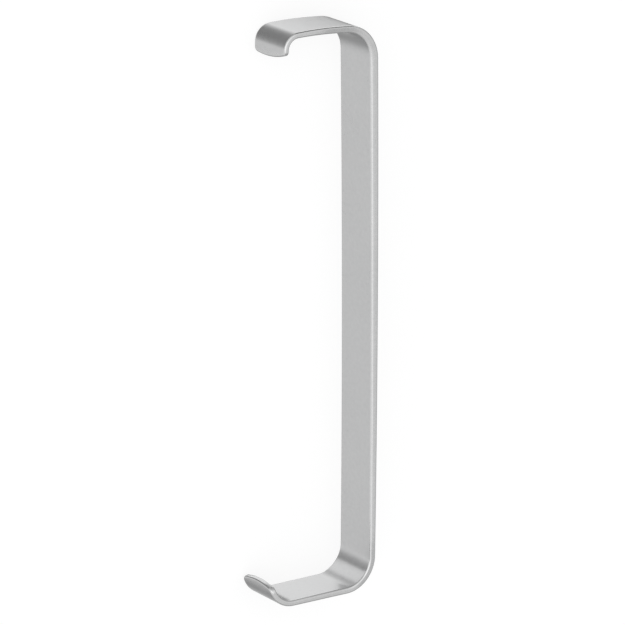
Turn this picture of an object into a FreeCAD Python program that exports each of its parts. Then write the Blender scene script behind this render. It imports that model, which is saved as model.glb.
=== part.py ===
import FreeCAD, Part
import math
import os

V = FreeCAD.Vector

# Double-ended right-angle retractor: one bent steel band, C-shaped in side view.
# +Y runs along the shank, both blades point to -X, +Z is the width of the band.
# The band lies on one long edge, which is the plane z = 0. All sizes are in mm
# and degrees, and the radii of bends are those of the band's middle surface.

# shank
SHANK_LENGTH = 131.45        # between the starts of the two bends
SHANK_BOW = 0.38             # how far the shank bulges outward at mid-length
SHANK_WIDTH = 13.4
EDGE_RADIUS = 0.45           # softened edges all round the band

# upper end: wide bend, gently arched blade, tight hooked lip
TOP_BEND_RADIUS = 8.5
TOP_BEND_ANGLE = 83.3
TOP_BLADE_LENGTH = 15.3
TOP_BLADE_ARCH = 7.8
TOP_LIP_RADIUS = 3.6
TOP_LIP_ANGLE = 87.0
TOP_LIP_STRAIGHT = 2.5
TOP_BLADE_WIDTH = 13.2
TOP_SHANK_THICKNESS = 2.4
TOP_ROOT_THICKNESS = 1.8
TOP_TIP_THICKNESS = 1.4
TOP_END_RADIUS = 26.0        # of the rounded end, seen square to the lip
TOP_CORNER_RADIUS = 1.2
TOP_END_SKEW = 4.5           # the ground end runs longer on the side toward z = 0

# lower end: square bend, flat blade, wide upturned lip
LOW_BEND_RADIUS = 8.0
LOW_BEND_ANGLE = 90.0
LOW_BLADE_LENGTH = 16.3
LOW_LIP_RADIUS = 6.6
LOW_LIP_ANGLE = 82.0
LOW_LIP_STRAIGHT = 0.4
LOW_BLADE_WIDTH = 12.9
LOW_SHANK_THICKNESS = 1.8
LOW_ROOT_THICKNESS = 1.7
LOW_TIP_THICKNESS = 1.5
LOW_END_RADIUS = 20.0
LOW_CORNER_RADIUS = 1.6

# the band narrows to the blade's width over this depth, from the shank's inner face on
NARROWING_RUN = 7.0

# steps of the outline: the most that one may turn, and the fewest in each run
STEP_ANGLE = 5.0
SHANK_STEPS = 10             # in half the shank
BLADE_STEPS = 3              # in a blade, a bend or a lip's curve
STRAIGHT_STEPS = 2           # in the short straight at a tip

OVERRUN = 1.5                # stock beyond tips and long edges, trimmed off again

TOP = {
    "side": 1,
    "runs": [
        (SHANK_LENGTH / 2, math.degrees(4 * SHANK_BOW / SHANK_LENGTH), SHANK_STEPS),
        (TOP_BEND_RADIUS * math.radians(TOP_BEND_ANGLE), TOP_BEND_ANGLE, BLADE_STEPS),
        (TOP_BLADE_LENGTH, TOP_BLADE_ARCH, BLADE_STEPS),
        (TOP_LIP_RADIUS * math.radians(TOP_LIP_ANGLE), TOP_LIP_ANGLE, BLADE_STEPS),
        (TOP_LIP_STRAIGHT, 0.0, STRAIGHT_STEPS),
    ],
    "thickness": [TOP_SHANK_THICKNESS, TOP_ROOT_THICKNESS, TOP_TIP_THICKNESS],
    "width": TOP_BLADE_WIDTH,
    "end_radius": TOP_END_RADIUS,
    "corner_radius": TOP_CORNER_RADIUS,
    "end_skew": TOP_END_SKEW,
}
LOW = {
    "side": -1,
    "runs": [
        (SHANK_LENGTH / 2, math.degrees(4 * SHANK_BOW / SHANK_LENGTH), SHANK_STEPS),
        (LOW_BEND_RADIUS * math.radians(LOW_BEND_ANGLE), LOW_BEND_ANGLE, BLADE_STEPS),
        (LOW_BLADE_LENGTH, 0.0, BLADE_STEPS),
        (LOW_LIP_RADIUS * math.radians(LOW_LIP_ANGLE), LOW_LIP_ANGLE, BLADE_STEPS),
        (LOW_LIP_STRAIGHT, 0.0, STRAIGHT_STEPS),
    ],
    "thickness": [LOW_SHANK_THICKNESS, LOW_ROOT_THICKNESS, LOW_TIP_THICKNESS],
    "width": LOW_BLADE_WIDTH,
    "end_radius": LOW_END_RADIUS,
    "corner_radius": LOW_CORNER_RADIUS,
    "end_skew": 0.0,
}
MIDDLE_THICKNESS = (TOP_SHANK_THICKNESS + LOW_SHANK_THICKNESS) / 2


def middle_line(end):
    """Stations of the band's middle line from mid-shank to past the tip.

    Each station is (distance, x, y, heading). Both ends are laid out upward and
    turn toward -X; the lower one is mirrored later. Also returns the distance
    at which each run stops, and the station of the finished tip.
    """
    distance, x, y, heading = 0.0, 0.0, 0.0, math.pi / 2
    stations = [(distance, x, y, heading)]
    stops = []
    for length, angle, fewest in end["runs"] + [(OVERRUN, 0.0, STRAIGHT_STEPS)]:
        tip = stations[-1]
        steps = max(fewest, math.ceil(angle / STEP_ANGLE))
        turn = math.radians(angle) / steps
        chord = length / steps * (math.sin(turn / 2) / (turn / 2) if turn else 1.0)
        for _ in range(steps):
            x += chord * math.cos(heading + turn / 2)
            y += chord * math.sin(heading + turn / 2)
            heading += turn
            distance += length / steps
            stations.append((distance, x, y, heading))
        stops.append(distance)
    return stations, stops, tip


def thickness_at(distance, stops, end):
    """Thickness, linear between mid-shank, the bend's two ends and past the tip."""
    shank, root, tip = end["thickness"]
    marks = [(0.0, MIDDLE_THICKNESS), (stops[0], shank), (stops[1], root), (stops[5], tip)]
    for (d0, t0), (d1, t1) in zip(marks, marks[1:]):
        if distance <= d1:
            return t0 + (t1 - t0) * (distance - d0) / (d1 - d0)
    return tip


def broad_faces(stations, stops, end):
    """Points of the outer and inner outline of one end, in side view."""
    outer, inner = [], []
    for distance, x, y, heading in stations:
        half = thickness_at(distance, stops, end) / 2
        nx, ny = math.sin(heading), -math.cos(heading)
        outer.append(V(x + nx * half, end["side"] * (y + ny * half), 0))
        inner.append(V(x - nx * half, end["side"] * (y - ny * half), 0))
    return outer, inner


def smooth_edge(points):
    curve = Part.BSplineCurve()
    curve.interpolate(points)
    return curve.toShape()


def side_profile(top, low):
    """The bent band, extruded from its side view and left too wide on both sides."""
    outer = top["outer"][::-1] + low["outer"][1:]
    inner = top["inner"][::-1] + low["inner"][1:]
    wire = Part.Wire([
        smooth_edge(outer),
        Part.makeLine(outer[-1], inner[-1]),
        smooth_edge(inner[::-1]),
        Part.makeLine(inner[0], outer[0]),
    ])
    # plain spline faces need far fewer facets than extruded ones
    band = Part.Face(wire).extrude(V(0, 0, SHANK_WIDTH + 2 * OVERRUN)).toNurbs().Solids[0]
    band.translate(V(0, 0, -OVERRUN))
    return band


def plan_envelope(end, line):
    """Prism along Y that trims one end to its width, seen along the shank."""
    middle = SHANK_WIDTH / 2
    deepest = min(point.x for point in line["outer"] + line["inner"]) - 2.0
    start = line["inner"][0].x - SHANK_BOW - end["thickness"][0]
    near, far = [], []
    for k in range(13):
        u = k / 12
        width = SHANK_WIDTH + (end["width"] - SHANK_WIDTH) * u * u * (3 - 2 * u)
        near.append(V(start - NARROWING_RUN * u, 0, middle + width / 2))
        far.append(V(start - NARROWING_RUN * u, 0, middle - width / 2))
    tip_near, tip_far = V(deepest, 0, near[-1].z), V(deepest, 0, far[-1].z)
    back_near, back_far = V(middle, 0, near[0].z), V(middle, 0, far[0].z)
    wire = Part.Wire([
        smooth_edge(near),
        Part.makeLine(near[-1], tip_near),
        Part.makeLine(tip_near, tip_far),
        Part.makeLine(tip_far, far[-1]),
        smooth_edge(far[::-1]),
        Part.makeLine(far[0], back_far),
        Part.makeLine(back_far, back_near),
        Part.makeLine(back_near, near[0]),
    ])
    return Part.Face(wire).extrude(V(0, end["side"] * SHANK_LENGTH, 0))


def end_tool(end, tip):
    """Stock to remove beyond one rounded end, placed square to the lip."""
    _, x, y, heading = tip
    depth = 4 * max(end["thickness"])
    block = Part.makeBox(4 * OVERRUN, depth, 2 * SHANK_WIDTH, V(-OVERRUN, -depth / 2, -SHANK_WIDTH))
    disc = Part.makeCylinder(end["end_radius"], depth, V(0, -depth / 2, 0), V(0, 1, 0))
    disc.rotate(V(0, 0, 0), V(0, 1, 0), 180)
    disc.translate(V(-end["end_radius"], 0, 0))
    tool = block.cut(disc)
    tool.rotate(V(0, 0, 0), V(0, 1, 0), -end["end_skew"])
    tool.rotate(V(0, 0, 0), V(0, 0, 1), end["side"] * math.degrees(heading))
    tool.translate(V(x, end["side"] * y, SHANK_WIDTH / 2))
    return tool


def round_corners(band, end, tip):
    """Round the two corners of one tip, seen square to the lip."""
    _, x, y, heading = tip
    along = V(math.cos(heading), end["side"] * math.sin(heading), 0)
    through = V(-along.y, along.x, 0)
    corners = []
    for edge in band.Edges:
        run = edge.Vertexes[-1].Point - edge.Vertexes[0].Point
        offset = edge.CenterOfMass - V(x, end["side"] * y, 0)
        beside_tip = abs(offset.dot(along)) < 3.0 and abs(offset.dot(through)) < 1.0
        if beside_tip and abs(run.dot(through)) > 0.9 * edge.Length:
            corners.append(edge)
    return band.makeFillet(end["corner_radius"], corners).Solids[0]


def soften(band):
    """Round every edge between a broad face and the narrow rim."""
    sharp = []
    for edge in band.Edges:
        at = edge.valueAt((edge.FirstParameter + edge.LastParameter) / 2)
        normals = []
        for face in band.ancestorsOfType(edge, Part.Face):
            u, v = face.Surface.parameter(at)
            normals.append(face.normalAt(u, v))
        if len(normals) == 2 and abs(normals[0].dot(normals[1])) < 0.5:
            sharp.append(edge)
    thinnest = min(TOP["thickness"] + LOW["thickness"])
    return band.makeFillet(min(EDGE_RADIUS, 0.45 * thinnest), sharp).Solids[0]


def retractor_body():
    lines = []
    for end in (TOP, LOW):
        stations, stops, tip = middle_line(end)
        outer, inner = broad_faces(stations, stops, end)
        lines.append({"outer": outer, "inner": inner, "tip": tip})
    top, low = lines

    band = side_profile(top, low)
    envelope = plan_envelope(TOP, top).fuse(plan_envelope(LOW, low)).removeSplitter()
    band = band.common(envelope)
    band = band.cut([end_tool(TOP, top["tip"]), end_tool(LOW, low["tip"])]).Solids[0]
    band = round_corners(band, TOP, top["tip"])
    band = round_corners(band, LOW, low["tip"])
    band = soften(band)

    # origin at the middle of the band's footprint
    box = band.optimalBoundingBox(False, False)
    band.translate(V(-(box.XMin + box.XMax) / 2, -(box.YMin + box.YMax) / 2, 0))
    return band


os.makedirs("parts", exist_ok=True)
retractor_body().exportStep("parts/retractor_body.step")
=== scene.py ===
import math

import bmesh
import bpy
import numpy as np
from mathutils import Matrix, Vector


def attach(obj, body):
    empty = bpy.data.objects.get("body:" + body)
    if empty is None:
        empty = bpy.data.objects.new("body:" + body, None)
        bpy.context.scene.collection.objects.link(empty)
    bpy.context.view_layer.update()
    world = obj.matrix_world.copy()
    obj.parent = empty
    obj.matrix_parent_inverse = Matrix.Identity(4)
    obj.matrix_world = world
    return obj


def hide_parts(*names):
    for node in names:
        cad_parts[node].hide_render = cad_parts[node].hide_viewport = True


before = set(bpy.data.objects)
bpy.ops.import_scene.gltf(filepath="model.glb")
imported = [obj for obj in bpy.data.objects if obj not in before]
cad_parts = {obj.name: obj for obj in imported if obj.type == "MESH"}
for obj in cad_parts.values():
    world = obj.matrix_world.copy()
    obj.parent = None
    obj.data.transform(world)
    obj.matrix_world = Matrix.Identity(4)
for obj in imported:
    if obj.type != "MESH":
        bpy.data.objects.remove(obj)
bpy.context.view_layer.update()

# A satin steel retractor: one bent band that lies on a long edge. +Y runs along its shank,
# both blades point to -X, and +Z is the width of the band. Sizes are in mm and degrees
# where the name or the comment gives no other unit.
MM = 0.001
WHITE = (1.0, 1.0, 1.0, 1.0)

# The camera looks down on the band from the side of its blades, through a long lens. It is
# set by a point on the shank's upper rim: how far that lies right of and above the middle
# of the picture, and how large a millimetre shows there.
VIEW_TURN = math.radians(34.72)
VIEW_TILT = math.radians(17.07)
FRAME_PX = 625.0
FOCAL_PX = 4746.4
PX_PER_MM = 3.9590
AIM_POINT = Vector((16.5265, -0.518, 13.4)) * MM
AIM_RIGHT_PX, AIM_UP_PX = 66.04, 2.23
SENSOR_WIDTH = 36.0
CLIP_START_M, CLIP_END_M = 0.01, 50.0


def add_object(name, data):
    made = bpy.data.objects.new(name, data)
    bpy.context.scene.collection.objects.link(made)
    return made


def add_camera():
    turn, tilt = VIEW_TURN, VIEW_TILT
    right = Vector((math.cos(turn), 0.0, math.sin(turn)))
    up = Vector((
        math.sin(turn) * math.sin(tilt),
        math.cos(tilt),
        -math.cos(turn) * math.sin(tilt),
    ))
    back = right.cross(up)
    place = (
        AIM_POINT
        - right * (AIM_RIGHT_PX / PX_PER_MM * MM)
        - up * (AIM_UP_PX / PX_PER_MM * MM)
        + back * (FOCAL_PX / PX_PER_MM * MM)
    )
    data = bpy.data.cameras.new("camera")
    data.sensor_width = SENSOR_WIDTH
    data.lens = FOCAL_PX / FRAME_PX * SENSOR_WIDTH
    data.clip_start = CLIP_START_M
    data.clip_end = CLIP_END_M
    camera = add_object("camera", data)
    facing = Matrix((right, up, back)).transposed().to_4x4()
    camera.matrix_world = Matrix.Translation(place) @ facing
    bpy.context.scene.camera = camera


# The band. Radii of bends are those of its middle surface.
SHANK_LENGTH = 131.45           # between the starts of the two bends
SHANK_BOW = 0.38                # how far the shank bulges outward at mid-length
SHANK_WIDTH = 13.4
MIDDLE_THICKNESS = 2.1          # at mid-shank
EDGE_RADIUS = 0.45              # softened edges all round the band
NARROWING_RUN = 7.0             # depth over which the band narrows to a blade's width
MID_SHANK = (15.4617, -0.518)   # x and y of the middle surface, at mid-shank
HALF_SHANK = (SHANK_LENGTH / 2, math.degrees(4 * SHANK_BOW / SHANK_LENGTH))


def arc(radius, angle):
    """Length and angle of a run that turns on one radius."""
    return radius * math.radians(angle), angle


# "runs" holds (length, angle) of half the shank, the bend, the blade, the lip's curve and
# its straight end. "thickness" is that at both ends of the bend and at the tip.
TOP = {
    "runs": [HALF_SHANK, arc(8.5, 83.3), (15.3, 7.8), arc(3.6, 87.0), (2.5, 0.0)],
    "thickness": (2.4, 1.8, 1.4),
    "width": 13.2,
    "end_radius": 26.0,
    "corner_radius": 1.2,
    "end_skew": math.radians(4.5),
}
LOW = {
    "runs": [HALF_SHANK, arc(8.0, 90.0), (16.3, 0.0), arc(6.6, 82.0), (0.4, 0.0)],
    "thickness": (1.8, 1.7, 1.5),
    "width": 12.9,
    "end_radius": 20.0,
    "corner_radius": 1.6,
    "end_skew": 0.0,
}

# How finely the band is sampled and meshed.
OVERRUN = 1.5                   # of the middle surface, past the tips
SAMPLE_STEP = 0.02              # along the middle surface
BEND_BLEND = 1.6                # length over which the curvature passes from run to run
THICKNESS_BLEND = 5.0           # and the thickness
LONGEST_ROW = 1.6
TURN_PER_ROW = math.radians(2.0)
TIP_EASE = 4.0                  # last stretch of the rows, which fans out to a skewed tip
FILLET_STEPS = 6
RIM_STEPS = 2
CORNER_STEPS = 7
ARC_STEPS = 14
WELD_DISTANCE_M = 1e-7

# Handling wear, from 0 for none: on the softened edges, where they meet the broad faces,
# along the middle of the rim, and on the broad faces.
EDGE_WEAR, SEAM_WEAR, RIM_WEAR, FACE_WEAR = 1.0, 0.55, 0.35, 0.0

# The unrolled layout, in mm, that the grain follows: (along the band, across it), with the
# broad faces moved apart and the rim in a strip of its own.
FACE_STRIP_SHIFT = 20
RIM_STRIP_START = 60
RIM_STRIP_STEP = 0.5


def run_length(end):
    return sum(length for length, _ in end["runs"])


def smoothed(values, width):
    """Running average with a soft window, for curvature and thickness along the band."""
    count = max(3, int(width / SAMPLE_STEP) | 1)
    window = np.hanning(count + 2)[1:-1]
    window /= window.sum()
    before = np.full(count // 2, values[0])
    after = np.full(count // 2, values[-1])
    return np.convolve(np.concatenate([before, values, after]), window, mode="valid")


def half_profile(end, grid):
    """Curvature and thickness of one end at each distance from mid-shank."""
    curvature = np.zeros_like(grid)
    stops = []
    start = 0.0
    for length, angle in end["runs"]:
        inside = (grid >= start) & (grid < start + length)
        curvature[inside] = math.radians(angle) / length
        start += length
        stops.append(start)
    bend_start, bend_stop, tip_stop = stops[0], stops[1], stops[-1]
    marks = [0.0, bend_start, bend_stop, tip_stop + OVERRUN]
    thickness = np.interp(grid, marks, [MIDDLE_THICKNESS, *end["thickness"]])
    return curvature, thickness


def summed(values):
    """Running integral of sampled values, by the mean of each step's two ends."""
    return np.concatenate([[0.0], np.cumsum((values[1:] + values[:-1]) / 2)])


class MiddleSurface:
    """The band's middle surface. s runs along it from mid-shank, up to the upper tip."""

    def __init__(self):
        top_grid = np.arange(0.0, run_length(TOP) + OVERRUN, SAMPLE_STEP)
        low_grid = np.arange(0.0, run_length(LOW) + OVERRUN, SAMPLE_STEP)
        top_curvature, top_thickness = half_profile(TOP, top_grid)
        low_curvature, low_thickness = half_profile(LOW, low_grid)

        def joined(low, top):
            # the lower end comes reversed, without the mid-shank sample that both share
            return np.concatenate([low[:0:-1], top])

        self.s = joined(-low_grid, top_grid)
        self.thickness = smoothed(joined(low_thickness, top_thickness), THICKNESS_BLEND)
        curvature = smoothed(joined(low_curvature, top_curvature), BEND_BLEND)
        middle = len(low_grid) - 1
        turned = summed(curvature * SAMPLE_STEP)
        self.heading = math.pi / 2 + turned - turned[middle]
        x = summed(np.cos(self.heading) * SAMPLE_STEP)
        y = summed(np.sin(self.heading) * SAMPLE_STEP)
        self.x = x - x[middle]
        self.y = y - y[middle]

    def at(self, s, values):
        return np.interp(s, self.s, values)

    def width(self, s):
        """Width of the band, which narrows from the shank to each blade with its depth."""
        s = np.asarray(s, dtype=float)
        end_width = np.where(s > 0, TOP["width"], LOW["width"])
        end_thickness = np.where(s > 0, TOP["thickness"][0], LOW["thickness"][0])
        start = -MIDDLE_THICKNESS / 2 - SHANK_BOW - end_thickness
        depth = np.clip((start - self.at(s, self.x)) / NARROWING_RUN, 0.0, 1.0)
        return SHANK_WIDTH + (end_width - SHANK_WIDTH) * depth * depth * (3 - 2 * depth)

    def place(self, s, z, height):
        """Points in mm, with z from the band's middle and height outward from the surface."""
        heading = self.at(s, self.heading)
        x = self.at(s, self.x) + np.sin(heading) * height + MID_SHANK[0]
        y = self.at(s, self.y) - np.cos(heading) * height + MID_SHANK[1]
        return np.stack([x, y, np.asarray(z) + SHANK_WIDTH / 2], axis=-1)


def tip_outline(end):
    """Rounded tip seen square to the lip, from the -z corner to the +z corner.

    Rows of (distance past the tip, z, outward normal along the band, and across it).
    """
    skew, radius, corner = end["end_skew"], end["end_radius"], end["corner_radius"]
    centre = np.array([-radius * math.cos(skew), -radius * math.sin(skew)])
    corners, angles = {}, {}
    for side in (-1, 1):
        z = side * (end["width"] / 2 - corner)
        reach = math.sqrt((radius - corner) ** 2 - (z - centre[1]) ** 2)
        corners[side] = np.array([centre[0] + reach, z])
        toward = corners[side] - centre
        angles[side] = math.atan2(toward[1], toward[0])

    rows = []

    def sweep(middle, size, start, stop, numbers, steps):
        for k in numbers:
            angle = start + (stop - start) * k / steps
            normal = np.array([math.cos(angle), math.sin(angle)])
            rows.append((*(middle + size * normal), *normal))

    every_step = range(CORNER_STEPS + 1)
    sweep(corners[-1], corner, -math.pi / 2, angles[-1], every_step, CORNER_STEPS)
    sweep(centre, radius, angles[-1], angles[1], range(1, ARC_STEPS), ARC_STEPS)
    sweep(corners[1], corner, angles[1], math.pi / 2, every_step, CORNER_STEPS)
    return np.array(rows)


def row_stations(surface, low_stop, top_stop):
    """Stations along s for the rows of the mesh, close together where the band turns."""
    turned = np.concatenate([[0.0], np.cumsum(np.abs(np.diff(surface.heading)))])
    effort = turned / TURN_PER_ROW + (surface.s - surface.s[0]) / LONGEST_ROW
    low_effort, top_effort = np.interp([low_stop, top_stop], surface.s, effort)
    count = math.ceil(top_effort - low_effort)
    return np.interp(np.linspace(low_effort, top_effort, count + 1), effort, surface.s)


class Outline:
    """The band's closed outline, unrolled, and the rows between its two long sides."""

    def __init__(self, surface):
        self.top_tip, self.low_tip = tip_outline(TOP), tip_outline(LOW)
        self.columns = len(self.top_tip)
        top_length, low_length = run_length(TOP), run_length(LOW)

        # where the long sides stop, first the -z side and then the +z side
        top_stops = top_length + self.top_tip[[0, -1], 0]
        low_stops = -low_length - self.low_tip[[0, -1], 0]
        self.stations = row_stations(surface, low_stops.max(), top_stops.min())
        self.minus_side = self.long_side(low_stops[0], top_stops[0])
        self.plus_side = self.long_side(low_stops[1], top_stops[1])

        # rows of (s, z, outward normal along s, and along z): up the -z side, round the
        # upper tip, down the +z side and round the lower tip
        ring = [(s, -float(surface.width(s)) / 2, 0.0, -1.0) for s in self.minus_side]
        ring += [(top_length + past, z, ns, nz) for past, z, ns, nz in self.top_tip[1:-1]]
        ring += [(s, float(surface.width(s)) / 2, 0.0, 1.0) for s in self.plus_side[::-1]]
        ring += [(-low_length - past, z, -ns, nz) for past, z, ns, nz in self.low_tip[-2:0:-1]]
        self.ring = np.array(ring)
        steps = np.diff(self.ring[:, :2], axis=0, append=self.ring[:1, :2])
        self.around = np.concatenate([[0.0], np.cumsum(np.hypot(steps[:, 0], steps[:, 1]))])

    def long_side(self, low_stop, top_stop):
        """Stations of one long side, eased near the tips to where that side stops."""
        first, last = self.stations[0], self.stations[-1]
        top_ease = np.clip((self.stations - last) / TIP_EASE + 1.0, 0.0, 1.0)
        low_ease = np.clip((first - self.stations) / TIP_EASE + 1.0, 0.0, 1.0)
        return self.stations + (top_stop - last) * top_ease + (low_stop - first) * low_ease


def rim_section():
    """Rings from the outer broad face over the rim to the inner one.

    Rows of (how far in from the outline, how far from the broad face to the middle, side,
    wear, length to the next ring in the unrolled layout).
    """
    fillet = []
    for k in range(FILLET_STEPS + 1):
        angle = math.pi / 2 * k / FILLET_STEPS
        inset, drop = EDGE_RADIUS * (1 - math.cos(angle)), EDGE_RADIUS * (1 - math.sin(angle))
        fillet.append((inset, drop, SEAM_WEAR if k == FILLET_STEPS else EDGE_WEAR))
    step = EDGE_RADIUS * math.pi / 2 / FILLET_STEPS
    rings = [(inset, drop, 1, wear, step) for inset, drop, wear in reversed(fillet)]
    for k in range(1, RIM_STEPS):
        rings.append((0.0, EDGE_RADIUS, 1 - 2 * k / RIM_STEPS, RIM_WEAR, RIM_STRIP_STEP))
    rings += [(inset, drop, -1, wear, step) for inset, drop, wear in fillet]
    return rings


class Skin:
    """The band's closed skin, gathered as points and faces before it becomes a mesh."""

    def __init__(self):
        self.surface = MiddleSurface()
        self.outline = Outline(self.surface)
        self.points, self.unrolled, self.wear = [], [], []
        self.faces, self.face_uvs = [], []

    def half_thickness(self, s):
        return self.surface.at(s, self.surface.thickness) / 2

    def add_points(self, s, z, height, wear, along):
        """Add points, with their place along the unrolled layout; returns the first's number."""
        first = len(self.points)
        places = self.surface.place(s, z, height)
        self.points.extend(places.tolist())
        self.unrolled.extend(zip(along.tolist(), places[:, 2].tolist()))
        self.wear.extend([wear] * len(places))
        return first

    def add_rim(self):
        """Add the rim and its softened edges; returns the first point of the outer rings."""
        ring, around = self.outline.ring, self.outline.around
        half_thickness = self.half_thickness(ring[:, 0])
        rings, down = [], 0.0
        for inset, drop, side, wear, step in rim_section():
            s = ring[:, 0] - ring[:, 2] * inset
            z = ring[:, 1] - ring[:, 3] * inset
            height = (half_thickness - drop) * side
            first = self.add_points(s, z, height, wear, ring[:, 0])
            rings.append((first, RIM_STRIP_START + down))
            down += step
        for (first, v0), (after, v1) in zip(rings, rings[1:]):
            for k in range(len(ring)):
                n = (k + 1) % len(ring)
                u0, u1 = around[k], around[k + 1]
                self.faces.append((first + k, first + n, after + n, after + k))
                self.face_uvs.append(((u0, v0), (u1, v0), (u1, v1), (u0, v1)))
        return rings[0][0], rings[-1][0]

    def add_broad_face(self, side, first):
        """Add a broad face as straight columns from tip to tip, within the ring at first."""
        outline = self.outline
        rows, columns, size = len(outline.stations), outline.columns, len(outline.ring)
        # lowest point of the ring's +z side, whose numbers grow downward
        lowest_plus = first + 2 * rows + columns - 3
        inside = slice(1, columns - 1)

        def shares(tip):
            return (tip[:, 1] - tip[0, 1]) / (tip[-1, 1] - tip[0, 1])

        top_shares, low_shares = shares(outline.top_tip), shares(outline.low_tip)
        upward = np.clip((outline.stations / (SHANK_LENGTH / 2) + 1) / 2, 0.0, 1.0)
        grid = [[first, *(first + size - k for k in range(1, columns - 1)), lowest_plus]]
        for i in range(rows):
            share = low_shares + (top_shares - low_shares) * upward[i]
            s = outline.minus_side[i] + (outline.plus_side[i] - outline.minus_side[i]) * share
            reach = self.surface.width(s) / 2 - EDGE_RADIUS
            z = -reach + 2 * reach * share
            height = self.half_thickness(s) * side
            start = self.add_points(s[inside], z[inside], height[inside], FACE_WEAR, s[inside])
            grid.append([first + i, *range(start, start + columns - 2), lowest_plus - i])
        grid.append([first + rows - 1 + k for k in range(columns)])

        for lower, upper in zip(grid, grid[1:]):
            for k in range(columns - 1):
                # next to a tip, two rows share their end points
                quad = (lower[k], lower[k + 1], upper[k + 1], upper[k])
                corners = tuple(dict.fromkeys(quad))
                if len(corners) < 3:
                    continue
                places = [self.unrolled[corner] for corner in corners]
                self.faces.append(corners)
                self.face_uvs.append([(u, v + FACE_STRIP_SHIFT * side) for u, v in places])

    def mesh(self, name):
        mesh = bpy.data.meshes.new(name)
        places = [tuple(value * MM for value in point) for point in self.points]
        mesh.from_pydata(places, [], self.faces)
        mesh.update()
        uvs = [value for face in self.face_uvs for pair in face for value in pair]
        mesh.uv_layers.new(name="unrolled").data.foreach_set("uv", uvs)
        mesh.attributes.new("edge", "FLOAT", "POINT").data.foreach_set("value", self.wear)

        work = bmesh.new()
        work.from_mesh(mesh)
        bmesh.ops.remove_doubles(work, verts=work.verts, dist=WELD_DISTANCE_M)
        bmesh.ops.recalc_face_normals(work, faces=work.faces)
        work.to_mesh(mesh)
        work.free()
        mesh.polygons.foreach_set("use_smooth", [True] * len(mesh.polygons))
        return mesh


def add_band(name):
    skin = Skin()
    outer_ring, inner_ring = skin.add_rim()
    skin.add_broad_face(1, outer_ring)
    skin.add_broad_face(-1, inner_ring)
    return add_object(name, skin.mesh(name))


def node(tree, kind, **settings):
    made = tree.nodes.new(kind)
    for key, value in settings.items():
        setattr(made, key, value)
    return made


def feed(tree, target, value):
    """Set a socket to a plain value, or link it from another socket."""
    if isinstance(value, bpy.types.NodeSocket):
        tree.links.new(value, target)
    else:
        target.default_value = value


def math_node(tree, operation, a, b=0.0):
    made = node(tree, "ShaderNodeMath", operation=operation)
    feed(tree, made.inputs[0], a)
    feed(tree, made.inputs[1], b)
    return made.outputs[0]


def noise(tree, vector, scale, detail, roughness=0.5):
    made = node(tree, "ShaderNodeTexNoise")
    feed(tree, made.inputs["Vector"], vector)
    made.inputs["Scale"].default_value = scale
    made.inputs["Detail"].default_value = detail
    made.inputs["Roughness"].default_value = roughness
    return made.outputs["Fac"]


def stretched(tree, vector, scale):
    made = node(tree, "ShaderNodeMapping")
    feed(tree, made.inputs["Vector"], vector)
    made.inputs["Scale"].default_value = scale
    return made.outputs["Vector"]


def map_range(tree, value, source, target, **settings):
    """Map a value from one (low, high) pair to another, clamped."""
    made = node(tree, "ShaderNodeMapRange", **settings)
    feed(tree, made.inputs["Value"], value)
    labels = ("From Min", "From Max", "To Min", "To Max")
    for label, number in zip(labels, (*source, *target)):
        made.inputs[label].default_value = number
    return made.outputs["Result"]


def new_group(name, sockets_in, sockets_out):
    """A shader node group, with its input and output nodes."""
    tree = bpy.data.node_groups.new(name, "ShaderNodeTree")
    for label, kind in sockets_in:
        tree.interface.new_socket(name=label, in_out="INPUT", socket_type=kind)
    for label, kind in sockets_out:
        tree.interface.new_socket(name=label, in_out="OUTPUT", socket_type=kind)
    return tree, node(tree, "NodeGroupInput"), node(tree, "NodeGroupOutput")


def new_material(name):
    material = bpy.data.materials.new(name)
    material.use_nodes = True
    material.node_tree.nodes.clear()
    return material, material.node_tree


def show(tree, kind, shader):
    """Link a shader to a new output node."""
    tree.links.new(shader, node(tree, kind).inputs["Surface"])


# Satin steel. Object coordinates are in metres, and the unrolled layout in mm.
NOISE_RANGE = (0.3, 0.7)              # where most of a noise's values lie
SPECKLE_SCALE = 5200.0
MOTTLE_SCALE = 900.0
HAZE_SCALE = 60.0
POLISH_LINES = (0.35, 9.0, 1.0)       # long along the band, fine across it
LINE_STRENGTH = 0.4
SPECKLE_HEIGHT = 0.6
MOTTLE_TONE, SPECKLE_TONE = 0.6, 0.4
PRICK_SCALE = 95.0
PRICK_SIZE = (0.02, 0.045)            # full at the first distance, gone at the second
HAIRLINES = (0.12, 2.2, 1.0)
HAIRLINE_WIDTH = 0.004
HAIRLINE_DEPTH = 0.35

# (position, colour) at both ends of the steel's tones, whose middle is at 0.5
STEEL_TONES = ((0.3, (0.42, 0.425, 0.43, 1.0)), (0.7, (0.70, 0.70, 0.70, 1.0)))
GRAIN_SHARE, HAZE_SHARE = 0.05, 0.015
EDGE_SHARE, MARK_SHARE = 0.08, 0.03
ROUGHNESS = (0.27, 0.33)
HAZE_ROUGHNESS = 0.02
EDGE_POLISH = 0.10
BUMP_STRENGTH, BUMP_DISTANCE_M = 0.03, 0.00003
ANISOTROPY = 0.5
POLISH_TURN = 0.25                    # the polishing lines run along the band


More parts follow.
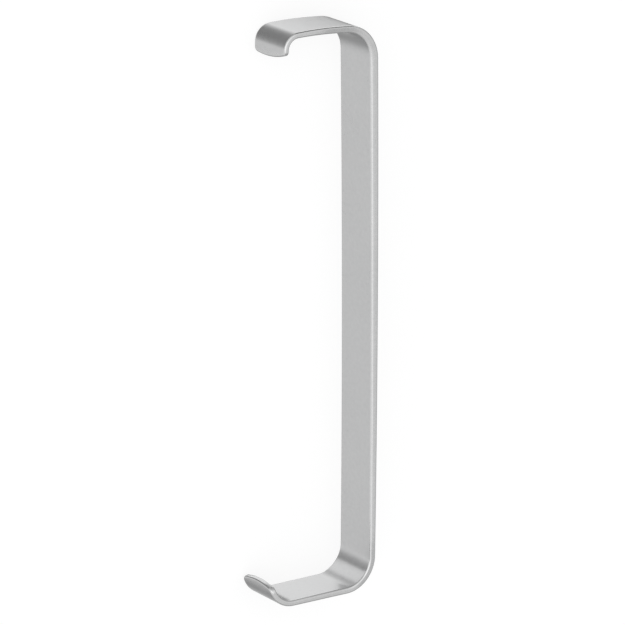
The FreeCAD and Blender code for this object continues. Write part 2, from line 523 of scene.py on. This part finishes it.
def satin_grain_group():
    """Fine mottled satin with faint lengthwise polishing lines."""
    tree, inp, out = new_group(
        "satin grain",
        [("Place", "NodeSocketVector"), ("Unrolled", "NodeSocketVector"),
         ("Line Strength", "NodeSocketFloat")],
        [("Height", "NodeSocketFloat"), ("Tone", "NodeSocketFloat")],
    )
    place, unrolled = inp.outputs["Place"], inp.outputs["Unrolled"]
    speckle = noise(tree, place, SPECKLE_SCALE, detail=3.0, roughness=0.65)
    mottle = noise(tree, place, MOTTLE_SCALE, detail=3.0, roughness=0.6)
    lines = noise(
        tree, stretched(tree, unrolled, POLISH_LINES), 1.0, detail=3.0, roughness=0.6)
    height = math_node(
        tree, "ADD",
        math_node(tree, "MULTIPLY", speckle, SPECKLE_HEIGHT),
        math_node(tree, "MULTIPLY", lines, inp.outputs["Line Strength"]),
    )
    tone = math_node(
        tree, "ADD",
        math_node(tree, "MULTIPLY", mottle, MOTTLE_TONE),
        math_node(tree, "MULTIPLY", speckle, SPECKLE_TONE),
    )
    tree.links.new(height, out.inputs["Height"])
    tree.links.new(tone, out.inputs["Tone"])
    return tree


def handling_wear_group():
    """Broad uneven polish, a few pin-prick marks and hairline scratches."""
    tree, inp, out = new_group(
        "handling wear",
        [("Place", "NodeSocketVector"), ("Unrolled", "NodeSocketVector")],
        [("Haze", "NodeSocketFloat"), ("Marks", "NodeSocketFloat")],
    )
    place, unrolled = inp.outputs["Place"], inp.outputs["Unrolled"]
    haze = noise(tree, place, HAZE_SCALE, detail=2.0)
    cells = node(tree, "ShaderNodeTexVoronoi", feature="F1")
    cells.inputs["Scale"].default_value = PRICK_SCALE
    tree.links.new(place, cells.inputs["Vector"])
    pricks = map_range(tree, cells.outputs["Distance"], PRICK_SIZE, (1.0, 0.0))
    hair = noise(tree, stretched(tree, unrolled, HAIRLINES), 1.0, detail=1.0)
    from_line = math_node(tree, "ABSOLUTE", math_node(tree, "SUBTRACT", hair, 0.5))
    hairlines = map_range(tree, from_line, (0.0, HAIRLINE_WIDTH), (HAIRLINE_DEPTH, 0.0))
    tree.links.new(haze, out.inputs["Haze"])
    tree.links.new(math_node(tree, "MAXIMUM", pricks, hairlines), out.inputs["Marks"])
    return tree


def satin_steel():
    material, tree = new_material("satin_steel")
    place = node(tree, "ShaderNodeTexCoord").outputs["Object"]
    unrolled = node(tree, "ShaderNodeUVMap", uv_map="unrolled").outputs["UV"]
    edge = node(tree, "ShaderNodeAttribute", attribute_name="edge").outputs["Fac"]
    grain = node(tree, "ShaderNodeGroup", node_tree=satin_grain_group())
    wear = node(tree, "ShaderNodeGroup", node_tree=handling_wear_group())
    for group in (grain, wear):
        tree.links.new(place, group.inputs["Place"])
        tree.links.new(unrolled, group.inputs["Unrolled"])
    grain.inputs["Line Strength"].default_value = LINE_STRENGTH
    grain_tone, haze = grain.outputs["Tone"], wear.outputs["Haze"]

    level = math_node(
        tree, "ADD",
        map_range(tree, grain_tone, NOISE_RANGE, (-GRAIN_SHARE, GRAIN_SHARE)),
        map_range(tree, haze, NOISE_RANGE, (-HAZE_SHARE, HAZE_SHARE)),
    )
    edge_tone = math_node(tree, "MULTIPLY", edge, EDGE_SHARE)
    mark_tone = math_node(tree, "MULTIPLY", wear.outputs["Marks"], MARK_SHARE)
    level = math_node(tree, "ADD", level, edge_tone)
    level = math_node(tree, "SUBTRACT", level, mark_tone)
    tones = node(tree, "ShaderNodeValToRGB")
    for element, (position, color) in zip(tones.color_ramp.elements, STEEL_TONES):
        element.position = position
        element.color = color
    tree.links.new(math_node(tree, "ADD", level, 0.5), tones.inputs["Fac"])

    roughness = math_node(
        tree, "ADD",
        map_range(tree, grain_tone, NOISE_RANGE, ROUGHNESS),
        map_range(tree, haze, NOISE_RANGE, (-HAZE_ROUGHNESS, HAZE_ROUGHNESS)),
    )
    polish = math_node(tree, "MULTIPLY", edge, EDGE_POLISH)
    roughness = math_node(tree, "SUBTRACT", roughness, polish)

    bump = node(tree, "ShaderNodeBump")
    bump.inputs["Strength"].default_value = BUMP_STRENGTH
    bump.inputs["Distance"].default_value = BUMP_DISTANCE_M
    tree.links.new(grain.outputs["Height"], bump.inputs["Height"])

    shader = node(tree, "ShaderNodeBsdfPrincipled")
    shader.inputs["Metallic"].default_value = 1.0
    shader.inputs["Anisotropic"].default_value = ANISOTROPY
    shader.inputs["Anisotropic Rotation"].default_value = POLISH_TURN
    tangent = node(tree, "ShaderNodeTangent", direction_type="UV_MAP", uv_map="unrolled")
    tree.links.new(tangent.outputs["Tangent"], shader.inputs["Tangent"])
    tree.links.new(tones.outputs["Color"], shader.inputs["Base Color"])
    tree.links.new(roughness, shader.inputs["Roughness"])
    tree.links.new(bump.outputs["Normal"], shader.inputs["Normal"])
    show(tree, "ShaderNodeOutputMaterial", shader.outputs["BSDF"])
    return material


# The stage: a white floor, and small cards that show only in the steel.
FLOOR_HALF_WIDTH = 3000
FLOOR_COLOR = (0.92, 0.92, 0.92, 1.0)
FLOOR_GLOW = 1.05
GLOW_SHARE = 0.78               # the rest of the floor takes light and shadow

# (corners, strength). Each card faces the end of the band that it serves and is clear from
# behind, so that the rest of the band doesn't mirror it.
CARDS = {
    # under the floor, mirrored by the hollow of the low bend
    "pale_card": ([(-16, -50, -48), (13, -50, -48), (13, -50, -3), (-16, -50, -3)], 1.15),
    # over the root of the upper blade, mirrored by its rim
    "grey_card": ([(11, 62, 30), (11, 74, 30), (20.5, 74, 30), (20.5, 62, 30)], 0.65),
    # over the low bend, mirrored by its rim
    "bend_card": ([(20, -84, 30), (20, -69, 30), (34, -69, 30), (34, -84, 30)], 0.72),
    # beyond the upper blade, mirrored by the edge between its outer face and its rim
    "dark_card": ([(-2, 95, 12), (32, 95, 12), (32, 95, 32), (-2, 95, 32)], 0.12),
}


def add_sheet(name, corners, material):
    """Add a flat four-cornered piece of the stage."""
    mesh = bpy.data.meshes.new(name)
    places = [tuple(value * MM for value in corner) for corner in corners]
    mesh.from_pydata(places, [], [(0, 1, 2, 3)])
    mesh.materials.append(material)
    sheet = add_object(name, mesh)
    return sheet


def glow(tree, strength):
    made = node(tree, "ShaderNodeEmission")
    made.inputs["Color"].default_value = WHITE
    made.inputs["Strength"].default_value = strength
    return made.outputs["Emission"]


def mixed(tree, share, first, second):
    """The first shader where the share is 0, and the second where it is 1."""
    mix = node(tree, "ShaderNodeMixShader")
    tree.links.new(share, mix.inputs["Fac"])
    tree.links.new(first, mix.inputs[1])
    tree.links.new(second, mix.inputs[2])
    return mix.outputs["Shader"]


def background_rays(tree):
    """1 for rays that show the white background, which the steel's gloss doesn't mirror."""
    path = node(tree, "ShaderNodeLightPath").outputs
    return math_node(tree, "MAXIMUM", path["Is Camera Ray"], path["Is Transmission Ray"])


def add_floor():
    material, tree = new_material("white_floor")
    diffuse = node(tree, "ShaderNodeBsdfDiffuse")
    diffuse.inputs["Color"].default_value = FLOOR_COLOR
    share = math_node(tree, "MULTIPLY", background_rays(tree), GLOW_SHARE)
    surface = mixed(tree, share, diffuse.outputs["BSDF"], glow(tree, FLOOR_GLOW))
    show(tree, "ShaderNodeOutputMaterial", surface)
    reach = FLOOR_HALF_WIDTH
    corners = [(-reach, -reach, 0), (reach, -reach, 0), (reach, reach, 0), (-reach, reach, 0)]
    floor = add_sheet("floor", corners, material)
    # the steel mirrors the studio's lower walls in its place
    floor.visible_glossy = False


def add_card(name, corners, strength):
    """Add a card that glows to the front, is clear to the back, and shows only in gloss."""
    material, tree = new_material(name)
    behind = node(tree, "ShaderNodeNewGeometry").outputs["Backfacing"]
    clear = node(tree, "ShaderNodeBsdfTransparent").outputs["BSDF"]
    show(tree, "ShaderNodeOutputMaterial", mixed(tree, behind, glow(tree, strength), clear))
    # the floor hides the lower card from light sampling, though not from gloss
    material.cycles.emission_sampling = "NONE"
    card = add_sheet(name, corners, material)
    card.visible_camera = False
    card.visible_diffuse = False
    card.visible_transmission = False
    card.visible_shadow = False


# The studio that the steel mirrors, as (direction from +X toward +Y, strength): what it
# mirrors downward, and what it mirrors above the horizon.
LOWER_STUDIO = [
    (0, 0.18), (14, 0.46), (24, 1.14), (38, 1.37), (50, 1.18), (62, 0.80), (76, 0.50),
    (90, 0.38), (104, 0.34), (122, 0.33), (138, 0.34), (154, 0.38), (172, 0.52), (190, 0.98),
    (208, 0.92), (224, 0.84), (238, 0.62), (252, 0.42), (270, 0.42), (290, 0.58), (306, 0.94),
    (320, 0.66), (334, 0.26), (350, 0.12),
]
UPPER_STUDIO = [
    (0, 0.62), (25, 0.55), (55, 0.58), (85, 0.60), (110, 0.75), (150, 0.90), (185, 1.05),
    (210, 1.05), (250, 0.80), (305, 0.45), (335, 0.62),
]
CEILING, ZENITH = 0.90, 1.32

# the heights, as the z of a direction, over which each part passes into the next
LOWER_TO_UPPER = (-0.45, 0.15)
UPPER_TO_CEILING = (0.55, 0.78)
CEILING_TO_ZENITH = (0.84, 0.95)

# a large weak lamp, in metres and watts, that faces the middle of the part
KEY_PLACE = Vector((-0.7, 0.2, 1.0))
KEY_SIZE = 1.0
KEY_POWER = 1.2


def grey(strength):
    return strength, strength, strength, 1.0


def wall_ramp(tree, share, walls):
    """Strength of the studio walls by direction, for a share of the full circle."""
    ramp = node(tree, "ShaderNodeValToRGB")
    ramp.color_ramp.interpolation = "EASE"
    elements = ramp.color_ramp.elements
    while len(elements) > 1:
        elements.remove(elements[-1])
    first_strength = walls[0][1]
    elements[0].position = 0.0
    elements[0].color = grey(first_strength)
    for degrees, strength in walls[1:] + [(360, first_strength)]:
        elements.new(degrees / 360).color = grey(strength)
    tree.links.new(share, ramp.inputs["Fac"])
    return ramp.outputs["Color"]


def height_mix(tree, height, heights, below, above):
    mix = node(tree, "ShaderNodeMix", data_type="RGBA")
    ease = map_range(tree, height, heights, (0.0, 1.0), interpolation_type="SMOOTHSTEP")
    tree.links.new(ease, mix.inputs["Factor"])
    feed(tree, mix.inputs["A"], below)
    feed(tree, mix.inputs["B"], above)
    return mix.outputs["Result"]


def add_studio():
    """White for background rays, and the studio for all others."""
    world = bpy.data.worlds.new("studio")
    bpy.context.scene.world = world
    world.use_nodes = True
    tree = world.node_tree
    tree.nodes.clear()
    axes = node(tree, "ShaderNodeSeparateXYZ")
    tree.links.new(node(tree, "ShaderNodeTexCoord").outputs["Generated"], axes.inputs["Vector"])
    azimuth = math_node(tree, "ARCTAN2", axes.outputs["Y"], axes.outputs["X"])
    turns = math_node(tree, "DIVIDE", azimuth, 2 * math.pi)
    share = math_node(tree, "FRACT", math_node(tree, "ADD", turns, 1.0))
    height = axes.outputs["Z"]
    lower = wall_ramp(tree, share, LOWER_STUDIO)
    upper = wall_ramp(tree, share, UPPER_STUDIO)
    walls = height_mix(tree, height, LOWER_TO_UPPER, lower, upper)
    walls = height_mix(tree, height, UPPER_TO_CEILING, walls, grey(CEILING))
    walls = height_mix(tree, height, CEILING_TO_ZENITH, walls, grey(ZENITH))
    studio = node(tree, "ShaderNodeBackground")
    tree.links.new(walls, studio.inputs["Color"])
    white = node(tree, "ShaderNodeBackground")
    white.inputs["Color"].default_value = WHITE
    seen = mixed(
        tree, background_rays(tree), studio.outputs["Background"], white.outputs["Background"])
    show(tree, "ShaderNodeOutputWorld", seen)


def add_key_lamp():
    data = bpy.data.lights.new("key", "AREA")
    data.shape = "DISK"
    data.size = KEY_SIZE
    data.energy = KEY_POWER
    lamp = add_object("key", data)
    lamp.location = KEY_PLACE
    lamp.rotation_euler = KEY_PLACE.to_track_quat("Z", "Y").to_euler()


bpy.context.scene.view_settings.view_transform = "Standard"
add_camera()
add_floor()
add_studio()
for name, (corners, strength) in CARDS.items():
    add_card(name, corners, strength)
add_key_lamp()

band = add_band("retractor_band")
band.data.materials.append(satin_steel())
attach(band, "root")
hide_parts("retractor_body")
